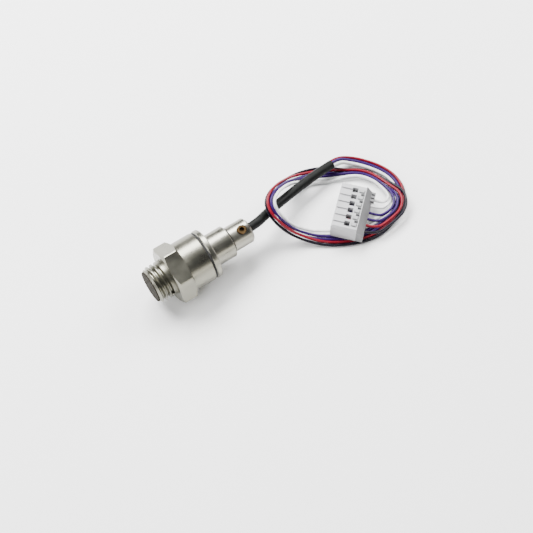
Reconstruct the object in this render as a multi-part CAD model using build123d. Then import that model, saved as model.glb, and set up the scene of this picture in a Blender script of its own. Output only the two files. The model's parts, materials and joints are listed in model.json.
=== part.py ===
from build123d import *
import os
from math import cos, hypot, pi, radians, sin, tan

# Threaded ultrasonic probe with a six-core lead and a six-pole plug, in millimetres.
# The probe lies along X, its sensing face towards -X and its lead leaving towards +X.
# The origin is under the middle of the probe, on the surface that the probe lies on.

# Driving dimensions of the probe, measured along its axis from the sensing face
THREAD_D = 12.0
THREAD_PITCH = 1.5
THREAD_END = 4.8
HEX_START = 6.3
HEX_END = 11.7
HEX_ACROSS_FLATS = 17.0
BARREL_D = 16.4
BARREL_END = 19.0
FLANGE_START = 19.6
FLANGE_END = 21.4
STEP_D = 10.6
STEP_END = 28.6
CAP_START = 28.9
CAP_D = 8.4
PROBE_LENGTH = 36.1
SCREW_STATION = 33.1
FIT = 0.03

# How the probe is turned about its axis: angles up from the -Y direction
HEX_FLAT_ANGLE = 70.6
SCREW_ANGLE = 78.0

# Lead
SLEEVE_D = 3.1
WIRE_D = 0.92

# Plug
POLES = 6
POLE_PITCH = 2.5
PLUG_WIDTH = 16.8
PLUG_HEIGHT = 6.4
PLUG_LENGTH = 10.6
COVER_START = 8.3
PLUG_LIFT = 1.25
PLUG_PLACE = (47.0, -7.1)
PLUG_TURN = -48.5
TAB_TRAVEL = 0.5

HEX_RADIUS = HEX_ACROSS_FLATS / 2 / cos(radians(30))
LOW_CORNER = HEX_FLAT_ANGLE - 150
AXIS_Z = HEX_RADIUS * sin(radians(-LOW_CORNER))
NOSE_X = -PROBE_LENGTH / 2


def turned_plane(angle, station=0.0):
    """Plane across the probe whose local x points at the given angle about the axis."""
    out = (0, -cos(radians(angle)), sin(radians(angle)))
    return Plane(origin=(NOSE_X + station, 0, AXIS_Z), x_dir=out, z_dir=(1, 0, 0))


PROBE = turned_plane(HEX_FLAT_ANGLE).location
PLUG = Location((*PLUG_PLACE, PLUG_LIFT), (0, 0, PLUG_TURN))


# ---------------------------------------------------------------- shared shapes
def rod(diameter, start, end, bore=0.0):
    """Round bar between two stations on the local z axis, hollow when a bore is given."""
    upright = (Align.CENTER, Align.CENTER, Align.MIN)
    bar = Cylinder(diameter / 2, end - start, align=upright)
    if bore:
        bar -= Cylinder(bore / 2, end - start, align=upright)
    return Pos(0, 0, start) * bar


def turned(points):
    """Solid turned about the local z axis from a closed (radius, station) outline."""
    outline = Polyline(*[(r, 0, z) for r, z in points], close=True)
    return revolve(make_face(outline), Axis.Z)


def block(x0, x1, y0, y1, z0, z1):
    """Box between two corners."""
    return Pos(x0, y0, z0) * Box(x1 - x0, y1 - y0, z1 - z0, align=(Align.MIN, Align.MIN, Align.MIN))


# ---------------------------------------------------------------- threaded body
ROOT_R = THREAD_D / 2 - 0.6134 * THREAD_PITCH
NOSE_START = 0.36
MOUTH_BORE = 8.8
FLOOR_STATION = 7.6
CHAMBER_BORE = 13.6
CHAMBER_START = 10.0
WIRE_WAY = 5.0


def thread_groove():
    """One start of V groove, from ahead of the nose to the thread's end."""
    height = THREAD_END + THREAD_PITCH
    helix = Helix(THREAD_PITCH, height, ROOT_R)
    across = Plane(origin=helix @ 0, x_dir=(1, 0, 0), z_dir=helix % 0)
    root, depth = 0.1, 1.15
    mouth = root + depth * tan(radians(30))
    outline = across * Polyline((0, -root), (depth, -mouth), (depth, mouth), (0, root), close=True)
    return Pos(0, 0, -THREAD_PITCH) * sweep(make_face(outline), path=helix, is_frenet=True)


def hex_body():
    """Threaded nose, spanner hexagon and barrel in one turned piece."""
    lead_in = 0.8
    nose = turned([
        (0, NOSE_START), (THREAD_D / 2 - lead_in, NOSE_START), (THREAD_D / 2, NOSE_START + lead_in),
        (THREAD_D / 2, HEX_START + 0.5), (0, HEX_START + 0.5),
    ])
    nose -= thread_groove()
    hexagon = extrude(
        Plane.XY.offset(HEX_START) * RegularPolygon(HEX_RADIUS, 6, rotation=30), HEX_END - HEX_START
    )
    hexagon = chamfer(hexagon.edges().filter_by(Axis.Z), 0.2)
    corner_cut = 0.75
    rim = HEX_RADIUS + 0.05
    hexagon &= turned([
        (0, HEX_START), (rim - 1.3, HEX_START), (rim, HEX_START + corner_cut),
        (rim, HEX_END - corner_cut), (rim - 1.3, HEX_END), (0, HEX_END),
    ])
    edge = 0.25
    barrel = turned([
        (0, HEX_END - 1), (BARREL_D / 2, HEX_END - 1), (BARREL_D / 2, BARREL_END - edge),
        (BARREL_D / 2 - edge, BARREL_END), (0, BARREL_END),
    ])
    inside = rod(MOUTH_BORE, 0, FLOOR_STATION)
    inside += rod(WIRE_WAY, 0, CHAMBER_START + 1)
    inside += rod(CHAMBER_BORE, CHAMBER_START, BARREL_END)
    return nose + hexagon + barrel - inside


# ---------------------------------------------------------------- sensing element
FACE_D = 10.3
DISC_END = 1.35
PIEZO_END = 2.35
BACKING_END = 5.4
CUP_D = 8.7


def face_disc():
    """Matching layer: a thin brim over the front of the nose and a plug in its mouth."""
    edge = 0.12
    return turned([
        (0, 0), (FACE_D / 2 - edge, 0), (FACE_D / 2, edge), (FACE_D / 2, NOSE_START - 0.01),
        (CUP_D / 2, NOSE_START - 0.01), (CUP_D / 2, DISC_END), (0, DISC_END),
    ])


def element_cup():
    """Soft ring that keeps the element's ringing out of the steel."""
    return rod(CUP_D, DISC_END + 0.01, BACKING_END, bore=7.1)


def retaining_ring():
    """Ring behind the element with two spanner slots."""
    ring = rod(CUP_D, BACKING_END + 0.05, 7.0, bore=4.6)
    return ring - block(-5, 5, -0.5, 0.5, 6.4, 7.5)


def element_leads():
    """Two thin leads from the element to the board."""
    leads = [Pos(side * 1.1, 0, 0) * rod(0.5, BACKING_END + 0.02, BOARD_START - 0.02) for side in (-1, 1)]
    return Compound(children=leads)


# ---------------------------------------------------------------- electronics
BOARD_START = 13.2
BOARD_END = 14.0
BOARD_D = 12.4
CARRIER_START = 10.3
CARRIER_END = 15.4


def circuit_board():
    """Round board with one flat, carried in the barrel."""
    disc = rod(BOARD_D, BOARD_START, BOARD_END)
    return disc - block(5.4, 7, -7, 7, BOARD_START - 1, BOARD_END + 1)


def board_parts():
    """Processor, driver, crystal and capacitors on both faces of the board."""
    rear = [(-2.0, 1.2, 3.0, 3.0, 0.9), (2.6, 2.2, 1.6, 2.4, 1.0), (2.4, -2.0, 2.0, 1.2, 0.7)]
    front = [(-2.8, -1.5, 1.8, 1.2, 0.8), (2.9, -2.6, 1.2, 0.7, 0.6), (-2.6, 2.4, 1.2, 0.7, 0.6)]
    pieces = [block(x, x + w, y, y + d, BOARD_END, BOARD_END + h) for x, y, w, d, h in rear]
    pieces += [block(x, x + w, y, y + d, BOARD_START - h, BOARD_START) for x, y, w, d, h in front]
    return Compound(children=pieces)


def board_carrier():
    """Plastic ring with a ledge that the board rests on."""
    ring = rod(CHAMBER_BORE - 2 * FIT - 0.04, CARRIER_START, CARRIER_END, bore=BOARD_D + 0.1)
    ledge = rod(BOARD_D + 0.3, BOARD_START - 0.7, BOARD_START, bore=10.8)
    return ring + ledge


# ---------------------------------------------------------------- rear of the probe
SPIGOT_START = 15.6
HOUSING_BORE = 8.0
NECK_BORE = 6.4
CAP_BORE = 4.6
BUSH_START = 29.6
SLEEVE_START = 26.4
SCREW_D = 3.0
SCREW_LENGTH = 1.7
PAD_THICK = 0.4
SCREW_IN = 2.32 + PAD_THICK


def rear_housing():
    """Flanged plug that screws into the barrel and steps down to the cap."""
    edge = 0.3
    shape = turned([
        (0, SPIGOT_START), (CHAMBER_BORE / 2 - FIT, SPIGOT_START), (CHAMBER_BORE / 2 - FIT, BARREL_END - 0.4),
        (6.2, BARREL_END - 0.3), (6.2, FLANGE_START), (BARREL_D / 2 - edge, FLANGE_START),
        (BARREL_D / 2, FLANGE_START + edge), (BARREL_D / 2, FLANGE_END - edge),
        (BARREL_D / 2 - edge, FLANGE_END), (STEP_D / 2, FLANGE_END), (STEP_D / 2, STEP_END - edge),
        (STEP_D / 2 - edge, STEP_END), (0, STEP_END),
    ])
    shape -= rod(HOUSING_BORE, SPIGOT_START, 24.4)
    return shape - rod(NECK_BORE, 24.4, STEP_END)


def body_seal():
    """Seal ring between the barrel and the flange."""
    return rod(15.9, BARREL_END + 0.02, FLANGE_START - 0.02, bore=12.5)


def cap_seal():
    """Thin seal between the step and the end cap."""
    return rod(9.0, STEP_END + 0.01, CAP_START - 0.01, bore=NECK_BORE)


def end_cap():
    """Lead entry, held in the step by its spigot and crossed by the clamp screw."""
    edge = 0.7
    shape = turned([
        (0, 25.4), (NECK_BORE / 2 - FIT, 25.4), (NECK_BORE / 2 - FIT, CAP_START),
        (CAP_D / 2 - 0.2, CAP_START), (CAP_D / 2, CAP_START + 0.2), (CAP_D / 2, PROBE_LENGTH - edge),
        (CAP_D / 2 - edge, PROBE_LENGTH), (0, PROBE_LENGTH),
    ])
    shape -= rod(SLEEVE_D + 0.4, 25.4, BUSH_START)
    shape -= rod(CAP_BORE, BUSH_START, PROBE_LENGTH)
    hole = turned([
        (0, 1.0), (SCREW_D / 2 + FIT, 1.0), (SCREW_D / 2 + FIT, 3.95), (SCREW_D / 2 + 0.5, 4.5), (0, 4.5),
    ])
    return shape - SCREW_SEAT * hole


def cable_bush():
    """Rubber bush that grips the sleeve in the cap."""
    return rod(CAP_BORE - 0.02, BUSH_START + 0.02, PROBE_LENGTH - 0.3, bore=SLEEVE_D + 0.06)


def set_screw():
    """Grub screw with a hexagon socket and a turned edge, in its own seat frame."""
    edge = 0.2
    top = SCREW_IN + SCREW_LENGTH
    radius = SCREW_D / 2 - FIT
    screw = turned([
        (0, SCREW_IN + 0.01), (radius - edge, SCREW_IN + 0.01), (radius, SCREW_IN + edge),
        (radius, top - edge), (radius - edge, top), (0, top),
    ])
    socket = extrude(Plane.XY.offset(top - 1.0) * RegularPolygon(0.87, 6), 1.5)
    return SCREW_SEAT * (screw - socket)


def clamp_pad():
    """Disc that the grub screw presses on the bush."""
    return SCREW_SEAT * rod(2.2, 2.32, 2.32 + PAD_THICK)


def seat_frame():
    """Frame of the clamp screw inside the probe: z runs outwards through the cap wall."""
    turn = SCREW_ANGLE - HEX_FLAT_ANGLE
    out = (cos(radians(turn)), -sin(radians(turn)), 0)
    return Plane(origin=(0, 0, SCREW_STATION), x_dir=(0, 0, 1), z_dir=out).location


SCREW_SEAT = seat_frame()


def inner_wires():
    """Six cores from the board to the start of the sleeve, tied by a shrink band."""
    loom = rod(3.2, 19.4, 22.0)
    for number in range(6):
        angle = radians(60 * number)
        loom += Pos(1.1 * cos(angle), 1.1 * sin(angle), 0) * rod(0.7, BOARD_END + 0.95, SLEEVE_START)
    return loom


# ---------------------------------------------------------------- plug
WIRE_RUN_IN = (10.6, 2.4)
WIRE_RUN_END = (4.4, 4.6)
RUN_OUT = 3.0
LATCH_PLACES = (-3.4, 2.0, 7.2)
LATCH_WIDTH = 1.2
LATCH_DEPTH = 1.24


def pole_positions():
    """Middle of each pole across the plug, from the near end to the far end."""
    return [(number - (POLES - 1) / 2) * POLE_PITCH for number in range(POLES)]


def wire_tunnel(across, diameter):
    """Sloping round way for one core, from behind the cover to under its window."""
    (u_in, z_in), (u_end, z_end) = WIRE_RUN_IN, WIRE_RUN_END
    run = hypot(u_end - u_in, z_end - z_in)
    ahead = ((u_end - u_in) / run, 0, (z_end - z_in) / run)
    start = Plane(origin=(u_in - 2 * ahead[0], across, z_in - 2 * ahead[2]), z_dir=ahead)
    return start.location * rod(diameter, 0, run + 2.3)


def plug_body():
    """Moulded housing with a ribbed top, windows, tab pockets and contact ways."""
    edge = 0.5
    half = PLUG_WIDTH / 2
    side = Polyline(
        (0, 0.4), (0.4, 0), (COVER_START, 0), (COVER_START, PLUG_HEIGHT), (edge, PLUG_HEIGHT),
        (0, PLUG_HEIGHT - edge), close=True,
    )
    shape = extrude(Plane.XZ.offset(-half) * make_face(side), PLUG_WIDTH)
    top_ends = shape.edges().filter_by(Axis.X).group_by(Axis.Z)[-1]
    shape = chamfer(top_ends, 0.6)
    for across in pole_positions():
        shape -= block(-1, 4.0, across - 0.3, across + 0.3, PLUG_HEIGHT - 0.45, PLUG_HEIGHT + 1)
        shape -= block(3.9, 5.7, across - 0.86, across + 0.86, 4.0, PLUG_HEIGHT + 1)
        shape -= block(6.1, 7.9, across - 0.65, across + 0.65, 4.6, PLUG_HEIGHT + 1)
        shape -= block(-1, 3.9, across - 0.7, across + 0.7, 1.0, 3.4)
        shape -= block(4.5, 7.4, across - 0.7, across + 0.7, -1, 1.8)
        shape -= wire_tunnel(across, WIRE_D + 0.3)
    for across in pole_positions()[1:]:
        middle = across - POLE_PITCH / 2
        shape -= block(6.9, 8.1, middle - 0.42, middle + 0.42, PLUG_HEIGHT - 2.4, PLUG_HEIGHT + 1)
    for middle in LATCH_PLACES:
        shape += latch_rib(middle)
    return shape


def latch_rib(middle):
    """Rib under the housing that the header's latch snaps over."""
    side = Polyline((1.2, 0.1), (1.9, -LATCH_DEPTH), (3.0, -LATCH_DEPTH), (3.0, 0.1), close=True)
    return extrude(Plane.XZ.offset(-middle - LATCH_WIDTH / 2) * make_face(side), LATCH_WIDTH)


def plug_cover():
    """Sloping rear cover with one wire entry for each pole and ribs at its far end."""
    half = PLUG_WIDTH / 2
    side = Polyline(
        (COVER_START + 0.02, 0), (PLUG_LENGTH - 0.3, 0), (PLUG_LENGTH, 0.3), (PLUG_LENGTH, 3.0),
        (COVER_START + 0.02, PLUG_HEIGHT), close=True,
    )
    shape = extrude(Plane.XZ.offset(-half) * make_face(side), PLUG_WIDTH)
    for place in (5.4, 6.7, 8.0):
        shape += block(9.6, PLUG_LENGTH + 0.7, place - 0.35, place + 0.35, 2.3, 3.9)
    for across in pole_positions():
        shape -= wire_tunnel(across, WIRE_D + 0.3)
    return shape


def release_tab(across):
    """Push tab that opens one clamp spring."""
    tab = block(6.2, 7.8, across - 0.55, across + 0.55, 5.2, PLUG_HEIGHT + TAB_TRAVEL)
    return chamfer(tab.edges().group_by(Axis.Z)[-1], 0.15)


def contacts():
    """Female contacts, one open box for each pin."""
    pieces = []
    for across in pole_positions():
        piece = block(0.6, 3.8, across - 0.55, across + 0.55, 1.2, 3.2)
        pieces.append(piece - block(0, 3.2, across - 0.35, across + 0.35, 1.45, 2.95))
    return Compound(children=pieces)


def clamp_springs():
    """Bent strip springs that press the bared core on the contact."""
    outline = Polyline(
        (4.7, 0.3), (7.2, 0.3), (7.2, 0.5), (4.9, 0.5), (4.9, 1.3), (6.9, 1.5), (6.9, 1.7), (4.7, 1.5),
        close=True,
    )
    strip = extrude(Plane.XZ.offset(-0.5) * make_face(outline), 1.0)
    return Compound(children=[Pos(0, across, 0) * strip for across in pole_positions()])


# ---------------------------------------------------------------- lead
# Middle of the sleeve, from inside the cap to the end where the cores come out
SLEEVE_ROUTE = [
    (NOSE_X + SLEEVE_START + 0.4, 0.0, AXIS_Z), (20.5, 0.0, AXIS_Z), (25.8, 1.8, 8.5), (31.4, 3.5, 6.9),
    (37.4, 4.8, 5.9), (43.6, 5.9, 5.3), (49.8, 6.7, 4.9), (55.4, 7.1, 4.4),
]

# Middle of the bundle of cores beyond the sleeve, then how flat it lies there:
# 0 is two rows of three, nested, and 1 is one row of six
BUNDLE_ROUTE = [
    ((61.4, 6.2, 2.9), 0.0), ((65.4, 3.2, 1.6), 0.0), ((69.0, -1.6, 1.05), 0.0), ((70.7, -6.8, 1.05), 0.0),
    ((69.9, -12.0, 1.05), 0.0), ((66.4, -15.8, 1.05), 0.1), ((61.2, -18.0, 0.95), 0.4),
    ((55.6, -18.7, 0.55), 1.0), ((49.8, -18.0, 0.55), 1.0), ((44.2, -15.6, 0.6), 1.0),
    ((38.8, -12.4, 0.75), 0.8), ((33.8, -8.8, 2.6), 0.2), ((30.1, -5.7, 5.8), 0.0), ((27.9, -2.6, 9.4), 0.0),
    ((27.1, 0.5, 12.0), 0.0), ((28.1, 3.1, 13.0), 0.0), ((30.7, 5.1, 12.5), 0.0), ((34.2, 6.9, 10.4), 0.0),
    ((38.0, 8.5, 7.2), 0.0), ((42.2, 9.7, 3.6), 0.3), ((46.2, 9.6, 1.1), 0.8), ((50.2, 8.2, 0.55), 1.0),
    ((54.4, 5.9, 0.6), 0.9), ((58.6, 3.4, 1.05), 0.1), ((62.6, 0.8, 1.05), 0.0), ((65.2, -3.0, 1.05), 0.0),
]

# Each core: lane when nested, lane when flat, rise when nested, place round the sleeve's end,
# then the pole that it serves and its own way from the bundle to that pole
CORES = {
    "wire_white_1": (
        -1.40, -2.75, 0.58, 150, 5,
        [(65.0, -7.4, 1.6), (65.0, -11.4, 2.1), (63.2, -13.2, 2.7)],
    ),
    "wire_white_2": (
        -0.85, -1.65, -0.58, 210, 4,
        [(65.5, -8.0, 0.75), (65.5, -12.3, 0.9), (63.0, -14.5, 2.3)],
    ),
    "wire_violet_1": (
        -0.30, -0.55, 0.58, 90, 3,
        [(66.15, -8.2, 2.05), (66.1, -12.7, 2.6), (63.8, -16.0, 2.8), (60.2, -16.9, 2.8)],
    ),
    "wire_violet_2": (
        0.25, 0.55, -0.58, 270, 2,
        [(66.7, -8.5, 1.0), (67.3, -12.9, 2.9), (64.4, -17.2, 2.9), (59.6, -18.3, 3.0)],
    ),
    "wire_red": (
        0.80, 1.65, 0.58, 30, 1,
        [(67.25, -8.8, 2.5), (68.5, -13.6, 3.15), (65.4, -18.3, 3.1), (59.4, -19.7, 3.1)],
    ),
    "wire_black": (
        1.35, 2.75, -0.58, 330, 0,
        [(68.5, -9.3, 2.6), (69.7, -14.3, 3.25), (66.2, -19.5, 3.1), (59.6, -21.1, 3.2)],
    ),
}
SLEEVE_MOUTH = 1.03
MOUTH_GAP = 0.02
STRAIGHT_OUT = 2.6


def lane_point(place, before, after, sideways, rise):
    """Point beside the bundle's middle: to the left of its way ahead, then above it."""
    ahead = (Vector(after) - Vector(before)).normalized()
    left = Vector(0, 0, 1).cross(ahead).normalized()
    return Vector(place) + left * sideways + ahead.cross(left) * rise


def bundle_lane(nested, flat, rise, clock):
    """One core's points, from its place in the sleeve's end along the bundle."""
    last = Vector(SLEEVE_ROUTE[-2])
    onward = (Vector(SLEEVE_ROUTE[-1]) - last).normalized()
    end = Vector(SLEEVE_ROUTE[-1]) + onward * MOUTH_GAP
    ahead = end + onward * STRAIGHT_OUT
    out, up = SLEEVE_MOUTH * cos(radians(clock)), SLEEVE_MOUTH * sin(radians(clock))
    points = [lane_point(place, last, end, out, up) for place in (end, ahead)]
    places = [ahead] + [Vector(place) for place, _ in BUNDLE_ROUTE]
    for number, (place, flatness) in enumerate(BUNDLE_ROUTE):
        before, after = places[number], places[min(number + 2, len(places) - 1)]
        sideways = nested + (flat - nested) * flatness
        points.append(lane_point(place, before, after, sideways, rise * (1 - flatness)))
    return points


def pole_run(number):
    """Last two points of a core: behind the cover, then under its window."""
    across = pole_positions()[number]
    (u_in, z_in), (u_end, z_end) = WIRE_RUN_IN, WIRE_RUN_END
    out = RUN_OUT / hypot(u_end - u_in, z_end - z_in)
    behind = (u_in - out * (u_end - u_in), across, z_in - out * (z_end - z_in))
    return [(PLUG * Pos(*spot)).position for spot in (behind, (u_end, across, z_end))]


def corner_radii(route):
    """Largest easy radius at each corner of a route."""
    radii = []
    for before, corner, after in zip(route, route[1:], route[2:]):
        run_in, run_out = Vector(corner) - Vector(before), Vector(after) - Vector(corner)
        half_turn = radians(run_in.get_angle(run_out)) / 2
        radii.append(0.45 * min(run_in.length, run_out.length) / tan(half_turn))
    return radii


def tube(name, route, diameter):
    """Round tube along straight runs joined by tangent arcs."""
    radii = corner_radii(route)
    path = FilletPolyline(*route, radius=radii)
    section = Plane(origin=path @ 0, z_dir=path % 0) * Circle(diameter / 2)
    solid = sweep(section, path=path)
    ideal = pi * diameter**2 / 4 * path.length
    print(name, "length", round(path.length, 1), "volume ratio", round(solid.volume / ideal, 4))
    print("  radii", [round(radius, 1) for radius in radii])
    return solid


# ---------------------------------------------------------------- export
def save(name, shape, place=None):
    """Write one node."""
    if place is not None:
        shape = place * shape
    shape.label = name
    export_step(shape, "parts/" + name + ".step")


os.makedirs("parts", exist_ok=True)
save("hex_body", hex_body(), PROBE)
save("face_disc", face_disc(), PROBE)
save("element_cup", element_cup(), PROBE)
save("piezo_disc", rod(7.0, DISC_END + 0.01, PIEZO_END), PROBE)
save("backing_block", rod(7.0, PIEZO_END + 0.01, BACKING_END), PROBE)
save("retaining_ring", retaining_ring(), PROBE)
save("element_leads", element_leads(), PROBE)
save("circuit_board", circuit_board(), PROBE)
save("board_parts", board_parts(), PROBE)
save("board_carrier", board_carrier(), PROBE)
save("inner_wires", inner_wires(), PROBE)
save("body_seal", body_seal(), PROBE)
save("rear_housing", rear_housing(), PROBE)
save("cap_seal", cap_seal(), PROBE)
save("end_cap", end_cap(), PROBE)
save("cable_bush", cable_bush(), PROBE)
save("clamp_pad", clamp_pad(), PROBE)
save("set_screw", set_screw(), PROBE)
save("cable_sleeve", tube("cable_sleeve", SLEEVE_ROUTE, SLEEVE_D))
save("plug_body", plug_body(), PLUG)
save("plug_cover", plug_cover(), PLUG)
save("plug_contacts", contacts(), PLUG)
save("clamp_springs", clamp_springs(), PLUG)
for number, across in enumerate(pole_positions(), start=1):
    save(f"release_tab_{number}", release_tab(across), PLUG)
for name, (nested, flat, rise, clock, pole, own_way) in CORES.items():
    save(name, tube(name, bundle_lane(nested, flat, rise, clock) + own_way + pole_run(pole), WIRE_D))
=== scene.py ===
import json
from math import cos, hypot, radians, sin

import bpy
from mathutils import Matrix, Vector


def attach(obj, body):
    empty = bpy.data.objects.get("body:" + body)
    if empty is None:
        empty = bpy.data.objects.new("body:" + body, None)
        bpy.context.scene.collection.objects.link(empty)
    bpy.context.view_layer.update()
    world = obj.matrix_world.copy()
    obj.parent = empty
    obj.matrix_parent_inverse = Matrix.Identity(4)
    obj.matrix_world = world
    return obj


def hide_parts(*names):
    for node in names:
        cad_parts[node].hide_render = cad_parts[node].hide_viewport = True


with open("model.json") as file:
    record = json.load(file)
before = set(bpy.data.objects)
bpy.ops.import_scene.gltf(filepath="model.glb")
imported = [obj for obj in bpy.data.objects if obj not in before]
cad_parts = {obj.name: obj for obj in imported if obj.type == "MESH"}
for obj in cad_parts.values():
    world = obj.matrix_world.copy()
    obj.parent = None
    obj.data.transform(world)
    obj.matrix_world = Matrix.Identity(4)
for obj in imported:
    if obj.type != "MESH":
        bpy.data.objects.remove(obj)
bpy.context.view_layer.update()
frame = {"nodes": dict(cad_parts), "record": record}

NODES = frame["nodes"]
BODY = "sensor"
MM = 0.001

# ---------------------------------------------------------------- materials
# Each material is named for the record's slot that it finishes.

# Most noise values lie between these two.
NOISE_LOW = 0.3
NOISE_HIGH = 0.7


class Shader:
    """Principled material with shared object coordinates and small builders for its detail."""

    def __init__(self, name, color, roughness, metallic=0.0, specular=0.5):
        self.material = bpy.data.materials.new(name)
        self.material.use_nodes = True
        self.tree = self.material.node_tree
        self.surface = self.tree.nodes["Principled BSDF"]
        self.surface.inputs["Base Color"].default_value = (*color, 1)
        self.surface.inputs["Roughness"].default_value = roughness
        self.surface.inputs["Metallic"].default_value = metallic
        self.surface.inputs["Specular IOR Level"].default_value = specular
        self.coordinates = self.tree.nodes.new("ShaderNodeTexCoord").outputs["Object"]
        self.height = None

    def link(self, start, end):
        self.tree.links.new(start, end)

    def noise(self, scale, detail=3.0, stretch=(1, 1, 1)):
        """Noise value, with scale in cycles a metre, stretched along the axes."""
        mapping = self.tree.nodes.new("ShaderNodeMapping")
        mapping.inputs["Scale"].default_value = stretch
        self.link(self.coordinates, mapping.inputs["Vector"])
        noise = self.tree.nodes.new("ShaderNodeTexNoise")
        noise.inputs["Scale"].default_value = scale
        noise.inputs["Detail"].default_value = detail
        self.link(mapping.outputs["Vector"], noise.inputs["Vector"])
        return noise.outputs["Fac"]

    def cells(self, scale):
        """Distance to the nearest grain's middle."""
        cells = self.tree.nodes.new("ShaderNodeTexVoronoi")
        cells.inputs["Scale"].default_value = scale
        self.link(self.coordinates, cells.inputs["Vector"])
        return cells.outputs["Distance"]

    def between(self, value, low, high):
        """A noise value spread to lie between low and high."""
        limits = self.tree.nodes.new("ShaderNodeMapRange")
        limits.inputs["From Min"].default_value = NOISE_LOW
        limits.inputs["From Max"].default_value = NOISE_HIGH
        limits.inputs["To Min"].default_value = low
        limits.inputs["To Max"].default_value = high
        self.link(value, limits.inputs["Value"])
        return limits.outputs["Result"]

    def color_by(self, value, dark, light, start=0.35, end=0.65):
        """Base colour that runs from dark to light with a value."""
        ramp = self.tree.nodes.new("ShaderNodeValToRGB")
        ramp.color_ramp.elements[0].position = start
        ramp.color_ramp.elements[1].position = end
        ramp.color_ramp.elements[0].color = (*dark, 1)
        ramp.color_ramp.elements[1].color = (*light, 1)
        self.link(value, ramp.inputs["Fac"])
        self.link(ramp.outputs["Color"], self.surface.inputs["Base Color"])

    def roughness_by(self, value, low, high):
        self.link(self.between(value, low, high), self.surface.inputs["Roughness"])

    def bump_by(self, value, strength, distance):
        """Adds one layer of relief over those before it."""
        bump = self.tree.nodes.new("ShaderNodeBump")
        bump.inputs["Strength"].default_value = strength
        bump.inputs["Distance"].default_value = distance
        self.link(value, bump.inputs["Height"])
        if self.height is not None:
            self.link(self.height, bump.inputs["Normal"])
        self.height = bump.outputs["Normal"]
        self.link(self.height, self.surface.inputs["Normal"])


def shade(color, factor):
    return tuple(min(1.0, channel * factor) for channel in color)


def turned_steel(name, color, roughness):
    """Lathe lines round the probe's axis, faint stains and fine handling scratches."""
    steel = Shader(name, color, roughness, metallic=1.0)
    lines = steel.noise(900, 2.0, stretch=(6, 0.05, 0.05))
    stains = steel.noise(160, 4.0)
    scratches = steel.noise(500, 2.0, stretch=(0.25, 6, 2))
    steel.color_by(stains, shade(color, 0.86), shade(color, 1.07))
    steel.roughness_by(stains, roughness - 0.05, roughness + 0.08)
    steel.bump_by(lines, 0.12, 0.00003)
    steel.bump_by(scratches, 0.025, 0.00002)
    return steel.material


def turned_brass(name, color, roughness):
    """Turned brass, dulled in patches."""
    brass = Shader(name, color, roughness, metallic=1.0)
    dull = brass.noise(1200, 4.0)
    brass.color_by(dull, shade(color, 0.55), color)
    brass.roughness_by(dull, roughness + 0.15, roughness)
    brass.bump_by(brass.noise(5000), 0.15, 0.00002)
    return brass.material


def moulded(name, color, roughness, grain=0.12):
    """Moulded plastic: fine spark grain, faint flow marks and handling gloss."""
    plastic = Shader(name, color, roughness, specular=0.4)
    flow = plastic.noise(220, 3.0, stretch=(1, 1, 2))
    plastic.color_by(flow, shade(color, 0.93), shade(color, 1.04))
    plastic.roughness_by(plastic.noise(400, 3.0), roughness - 0.08, roughness + 0.08)
    plastic.bump_by(plastic.noise(9000, 2.0), grain, 0.00002)
    return plastic.material


def rubber(name, color, roughness, wrinkle=0.25):
    """Soft rubber or shrink tube with a dusty bloom and shallow wrinkles."""
    soft = Shader(name, color, roughness, specular=0.14)
    bloom = soft.noise(350, 4.0)
    soft.color_by(bloom, shade(color, 0.8), shade(color, 1.7))
    soft.roughness_by(bloom, roughness - 0.1, roughness + 0.1)
    soft.bump_by(soft.noise(700, 2.0, stretch=(1.6, 0.5, 0.5)), wrinkle, 0.00012)
    soft.bump_by(soft.noise(6000, 2.0), 0.1, 0.00002)
    return soft.material


def insulation(name, color, roughness=0.38):
    """Extruded core insulation: smooth, with slight draw marks and scuffs."""
    skin = Shader(name, color, roughness, specular=0.2)
    scuffs = skin.noise(600, 4.0)
    skin.color_by(scuffs, shade(color, 0.85), shade(color, 1.12))
    skin.roughness_by(scuffs, roughness - 0.08, roughness + 0.12)
    skin.bump_by(skin.noise(2500, 2.0), 0.08, 0.00003)
    return skin.material


def sensing_face(name):
    """Coarse brownish-grey face with light grains."""
    face = Shader(name, (0.035, 0.03, 0.023), 0.85, specular=0.1)
    grains = face.cells(2600)
    face.color_by(grains, (0.05, 0.044, 0.033), (0.016, 0.014, 0.011), start=0.1, end=0.6)
    face.bump_by(grains, 0.6, 0.0001)
    face.bump_by(face.noise(1800, 4.0), 0.4, 0.00008)
    return face.material


def fired(name, color):
    """Fired ceramic or filled resin with small pits."""
    body = Shader(name, color, 0.6, specular=0.3)
    pits = body.noise(3000, 4.0)
    body.color_by(pits, shade(color, 0.8), color)
    body.bump_by(pits, 0.3, 0.00003)
    return body.material


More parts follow.
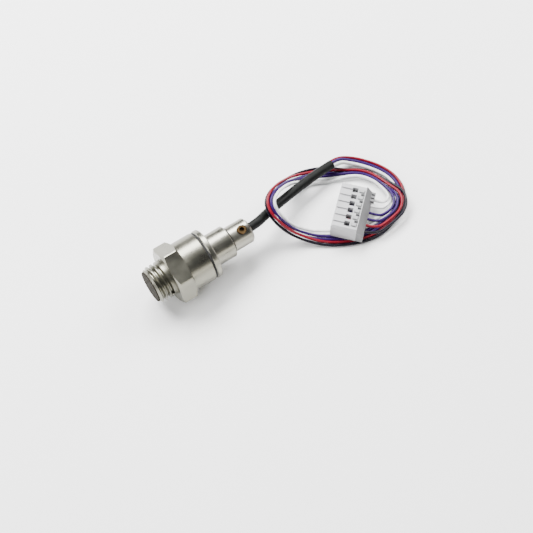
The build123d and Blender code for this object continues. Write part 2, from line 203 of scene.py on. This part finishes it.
MATERIALS = {
    "steel_body": turned_steel("steel_body", (0.21, 0.205, 0.168), 0.3),
    "steel_rear": turned_steel("steel_rear", (0.23, 0.224, 0.188), 0.28),
    "steel_cap": turned_steel("steel_cap", (0.26, 0.252, 0.215), 0.3),
    "face_disc": sensing_face("face_disc"),
    "soft_liner": rubber("soft_liner", (0.05, 0.05, 0.05), 0.8),
    "ceramic": fired("ceramic", (0.75, 0.71, 0.6)),
    "backing": fired("backing", (0.12, 0.12, 0.13)),
    "ring_brass": turned_brass("ring_brass", (0.72, 0.55, 0.28), 0.3),
    # screw_brass keeps its slot name, but its base colour is darkened far below brass as painted
    # shade of the hole the set screw sits in
    "screw_brass": turned_brass("screw_brass", (0.1, 0.062, 0.028), 0.38),
    "inner_copper": insulation("inner_copper", (0.35, 0.12, 0.1)),
    "board": moulded("board", (0.02, 0.16, 0.06), 0.35),
    "board_parts": moulded("board_parts", (0.04, 0.04, 0.04), 0.5),
    "carrier": moulded("carrier", (0.7, 0.68, 0.62), 0.5),
    "seal": rubber("seal", (0.02, 0.02, 0.02), 0.7, wrinkle=0.1),
    "bush": rubber("bush", (0.02, 0.02, 0.02), 0.65, wrinkle=0.1),
    "sleeve": rubber("sleeve", (0.0015, 0.0018, 0.0016), 0.5),
    "plug_grey": moulded("plug_grey", (0.4, 0.4, 0.41), 0.5),
    # cover_grey keeps its slot name, but it is a darker copy of plug_grey: painted shade of the
    # plug's rear sloped face
    "cover_grey": moulded("cover_grey", (0.16, 0.16, 0.165), 0.6, grain=0.25),
    "tab_grey": moulded("tab_grey", (0.33, 0.33, 0.34), 0.5),
    "contact_metal": turned_brass("contact_metal", (0.75, 0.68, 0.5), 0.3),
    "wire_white": insulation("wire_white", (0.7, 0.7, 0.7)),
    "wire_violet": insulation("wire_violet", (0.02, 0.003, 0.07)),
    "wire_red": insulation("wire_red", (0.16, 0.002, 0.012)),
    "wire_black": insulation("wire_black", (0.0022, 0.001, 0.006)),
}

for part in frame["record"]["subparts"]:
    slots = NODES[part["node"]].data.materials
    slots.clear()
    slots.append(MATERIALS[part["material_slot"]])

# ---------------------------------------------------------------- lead
# Sizes and points in millimetres, in the row frame.
AXIS_Z = 9.6475
SLEEVE_D = 3.1
WIRE_D = 0.92
POLES = 6
POLE_PITCH = 2.5
PLUG_PLACE = Vector((47.0, -7.1, 1.25))
PLUG_TURN = radians(-48.5)
# A core's way in the plug, as distance along it and height: at its cover, then under its window
WIRE_RUN_IN = (10.6, 2.4)
WIRE_RUN_END = (4.4, 4.6)
RUN_OUT = 3.0
# The cores leave the sleeve in a ring of this radius, just off its end, and first run straight
SLEEVE_MOUTH = 1.03
MOUTH_GAP = 0.02
STRAIGHT_OUT = 2.6

SLEEVE_ROUTE = [
    (8.75, 0.0, AXIS_Z), (20.5, 0.0, AXIS_Z), (25.8, 1.8, 8.5), (31.4, 3.5, 6.9),
    (37.4, 4.8, 5.9), (43.6, 5.9, 5.3), (49.8, 6.7, 4.9), (55.4, 7.1, 4.4),
]

# Middle of the bundle of cores, then how flat it lies: 0 is two nested rows, 1 is one row
BUNDLE_ROUTE = [
    ((61.4, 6.2, 2.9), 0.0), ((65.4, 3.2, 1.6), 0.0), ((69.0, -1.6, 1.05), 0.0),
    ((70.7, -6.8, 1.05), 0.0), ((69.9, -12.0, 1.05), 0.0), ((66.4, -15.8, 1.05), 0.1),
    ((61.2, -18.0, 0.95), 0.4), ((55.6, -18.7, 0.55), 1.0), ((49.8, -18.0, 0.55), 1.0),
    ((44.2, -15.6, 0.6), 1.0), ((38.8, -12.4, 0.75), 0.8), ((33.8, -8.8, 2.6), 0.2),
    ((30.1, -5.7, 5.8), 0.0), ((27.9, -2.6, 9.4), 0.0), ((27.1, 0.5, 12.0), 0.0),
    ((28.1, 3.1, 13.0), 0.0), ((30.7, 5.1, 12.5), 0.0), ((34.2, 6.9, 10.4), 0.0),
    ((38.0, 8.5, 7.2), 0.0), ((42.2, 9.7, 3.6), 0.3), ((46.2, 9.6, 1.1), 0.8),
    ((50.2, 8.2, 0.55), 1.0), ((54.4, 5.9, 0.6), 0.9), ((58.6, 3.4, 1.05), 0.1),
    ((62.6, 0.8, 1.05), 0.0), ((65.2, -3.0, 1.05), 0.0),
]

# Each core: lane when nested, lane when flat, rise when nested, place round the sleeve's end,
# then the pole that it serves, its own way there, and its length
CORES = {
    "wire_white_1": (
        -1.40, -2.75, 0.58, 150, 5,
        [(65.0, -7.4, 1.6), (65.0, -11.4, 2.1), (63.2, -13.2, 2.7)], 145.0,
    ),
    "wire_white_2": (
        -0.85, -1.65, -0.58, 210, 4,
        [(65.5, -8.0, 0.75), (65.5, -12.3, 0.9), (63.0, -14.5, 2.3)], 151.7,
    ),
    "wire_violet_1": (
        -0.30, -0.55, 0.58, 90, 3,
        [(66.15, -8.2, 2.05), (66.1, -12.7, 2.6), (63.8, -16.0, 2.8), (60.2, -16.9, 2.8)], 161.4,
    ),
    "wire_violet_2": (
        0.25, 0.55, -0.58, 270, 2,
        [(66.7, -8.5, 1.0), (67.3, -12.9, 2.9), (64.4, -17.2, 2.9), (59.6, -18.3, 3.0)], 168.9,
    ),
    "wire_red": (
        0.80, 1.65, 0.58, 30, 1,
        [(67.25, -8.8, 2.5), (68.5, -13.6, 3.15), (65.4, -18.3, 3.1), (59.4, -19.7, 3.1)], 178.5,
    ),
    "wire_black": (
        1.35, 2.75, -0.58, 330, 0,
        [(68.5, -9.3, 2.6), (69.7, -14.3, 3.25), (66.2, -19.5, 3.1), (59.6, -21.1, 3.2)], 186.8,
    ),
}


def lane_point(place, before, after, sideways, rise):
    """Point beside the bundle's middle: to the left of its way ahead, then above it."""
    ahead = (Vector(after) - Vector(before)).normalized()
    left = Vector((0, 0, 1)).cross(ahead).normalized()
    return Vector(place) + left * sideways + ahead.cross(left) * rise


def bundle_lane(nested, flat, rise, clock):
    """One core's points, from its place in the sleeve's end along the bundle."""
    last = Vector(SLEEVE_ROUTE[-2])
    onward = (Vector(SLEEVE_ROUTE[-1]) - last).normalized()
    end = Vector(SLEEVE_ROUTE[-1]) + onward * MOUTH_GAP
    ahead = end + onward * STRAIGHT_OUT
    out, up = SLEEVE_MOUTH * cos(radians(clock)), SLEEVE_MOUTH * sin(radians(clock))
    points = [lane_point(place, last, end, out, up) for place in (end, ahead)]
    places = [ahead] + [Vector(place) for place, _ in BUNDLE_ROUTE]
    for number, (place, flatness) in enumerate(BUNDLE_ROUTE):
        before, after = places[number], places[min(number + 2, len(places) - 1)]
        sideways = nested + (flat - nested) * flatness
        points.append(lane_point(place, before, after, sideways, rise * (1 - flatness)))
    return points


def in_plug(along, across, up):
    """Point of the plug's own frame in the row frame."""
    turned_x = along * cos(PLUG_TURN) - across * sin(PLUG_TURN)
    turned_y = along * sin(PLUG_TURN) + across * cos(PLUG_TURN)
    return PLUG_PLACE + Vector((turned_x, turned_y, up))


def pole_run(number):
    """Last two points of a core: behind the cover, then under its window."""
    across = (number - (POLES - 1) / 2) * POLE_PITCH
    (u_in, z_in), (u_end, z_end) = WIRE_RUN_IN, WIRE_RUN_END
    out = RUN_OUT / hypot(u_end - u_in, z_end - z_in)
    behind = in_plug(u_in - out * (u_end - u_in), across, z_in - out * (z_end - z_in))
    return [behind, in_plug(u_end, across, z_end)]


def lay_cord(name, route, diameter, material):
    """Smooth round cord whose control points are the route."""
    curve = bpy.data.curves.new(name, "CURVE")
    curve.dimensions = "3D"
    curve.resolution_u = 10
    curve.bevel_depth = diameter / 2 * MM
    curve.bevel_resolution = 5
    curve.use_fill_caps = True
    spline = curve.splines.new("NURBS")
    spline.points.add(len(route) - 1)
    for point, place in zip(spline.points, route):
        point.co = (*(Vector(place) * MM), 1)
    spline.order_u = 3
    spline.use_endpoint_u = True
    spline.use_smooth = True
    curve.materials.append(MATERIALS[material])
    piece = bpy.data.objects.new(name, curve)
    bpy.context.scene.collection.objects.link(piece)
    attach(piece, BODY)
    return piece


def lay_lead():
    """The sleeve and its six cores, in place of their CAD solids."""
    sleeve = lay_cord("lead_sleeve", SLEEVE_ROUTE, SLEEVE_D, "sleeve")
    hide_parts("cable_sleeve")
    for name, (nested, flat, rise, clock, pole, own_way, length) in CORES.items():
        route = bundle_lane(nested, flat, rise, clock) + own_way + pole_run(pole)
        slot_name = name.rsplit("_", 1)[0] if name[-1].isdigit() else name
        core = lay_cord("core" + name[4:], route, WIRE_D, slot_name)
        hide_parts(name)


lay_lead()


# ---------------------------------------------------------------- stage
def lay_floor():
    """Pale paper, a hair below the part so that the two never share a plane."""
    mesh = bpy.data.meshes.new("floor")
    reach = 3.0
    gap = 0.00005
    corners = [(-reach, -reach, 0), (reach, -reach, 0), (reach, reach, 0), (-reach, reach, 0)]
    mesh.from_pydata(corners, [], [(0, 1, 2, 3)])
    floor = bpy.data.objects.new("floor", mesh)
    floor.location.z = -gap
    bpy.context.scene.collection.objects.link(floor)
    paper = Shader("floor_paper", (0.87, 0.87, 0.87), 0.9, specular=0.1)
    paper.color_by(paper.noise(6, 2.0), (0.93, 0.93, 0.93), (0.96, 0.96, 0.96))
    mesh.materials.append(paper.material)


def soft_light(name, place, target, size, power, color=(1, 1, 1)):
    """Rectangular soft box aimed at a point."""
    data = bpy.data.lights.new(name, "AREA")
    data.shape = "RECTANGLE"
    data.size, data.size_y = size
    data.energy = power
    data.color = color
    lamp = bpy.data.objects.new(name, data)
    lamp.location = place
    lamp.rotation_euler = (Vector(target) - Vector(place)).to_track_quat("-Z", "Y").to_euler()
    bpy.context.scene.collection.objects.link(lamp)


def light_scene():
    """Large soft box behind, low fill from the sides and front, and a dim sky."""
    middle = (0.03, -0.005, 0.005)
    soft_light("key", (0.0, 0.36, 0.5), middle, (0.6, 0.32), 17.0)
    soft_light("left", (-0.5, 0.1, 0.3), middle, (0.3, 0.3), 3.0)
    soft_light("right", (0.5, 0.05, 0.4), middle, (0.3, 0.3), 5.0)
    soft_light("front", (0.1, -0.5, 0.12), middle, (0.6, 0.12), 1.2, (1.0, 0.97, 0.9))
    world = bpy.data.worlds.new("studio")
    world.use_nodes = True
    sky = world.node_tree.nodes["Background"]
    sky.inputs["Color"].default_value = (0.92, 0.95, 1.0, 1)
    sky.inputs["Strength"].default_value = 0.13
    bpy.context.scene.world = world


def place_camera():
    """Camera at the photograph's angle and distance."""
    data = bpy.data.cameras.new("camera")
    data.lens = 80
    data.sensor_width = 36
    camera = bpy.data.objects.new("camera", data)
    camera.location = (-0.07512, -0.14823, 0.33716)
    aim = Vector((0.01806, -0.01009, 0.0)) - camera.location
    camera.rotation_euler = aim.to_track_quat("-Z", "Y").to_euler()
    bpy.context.scene.collection.objects.link(camera)
    bpy.context.scene.camera = camera


lay_floor()
light_scene()
place_camera()
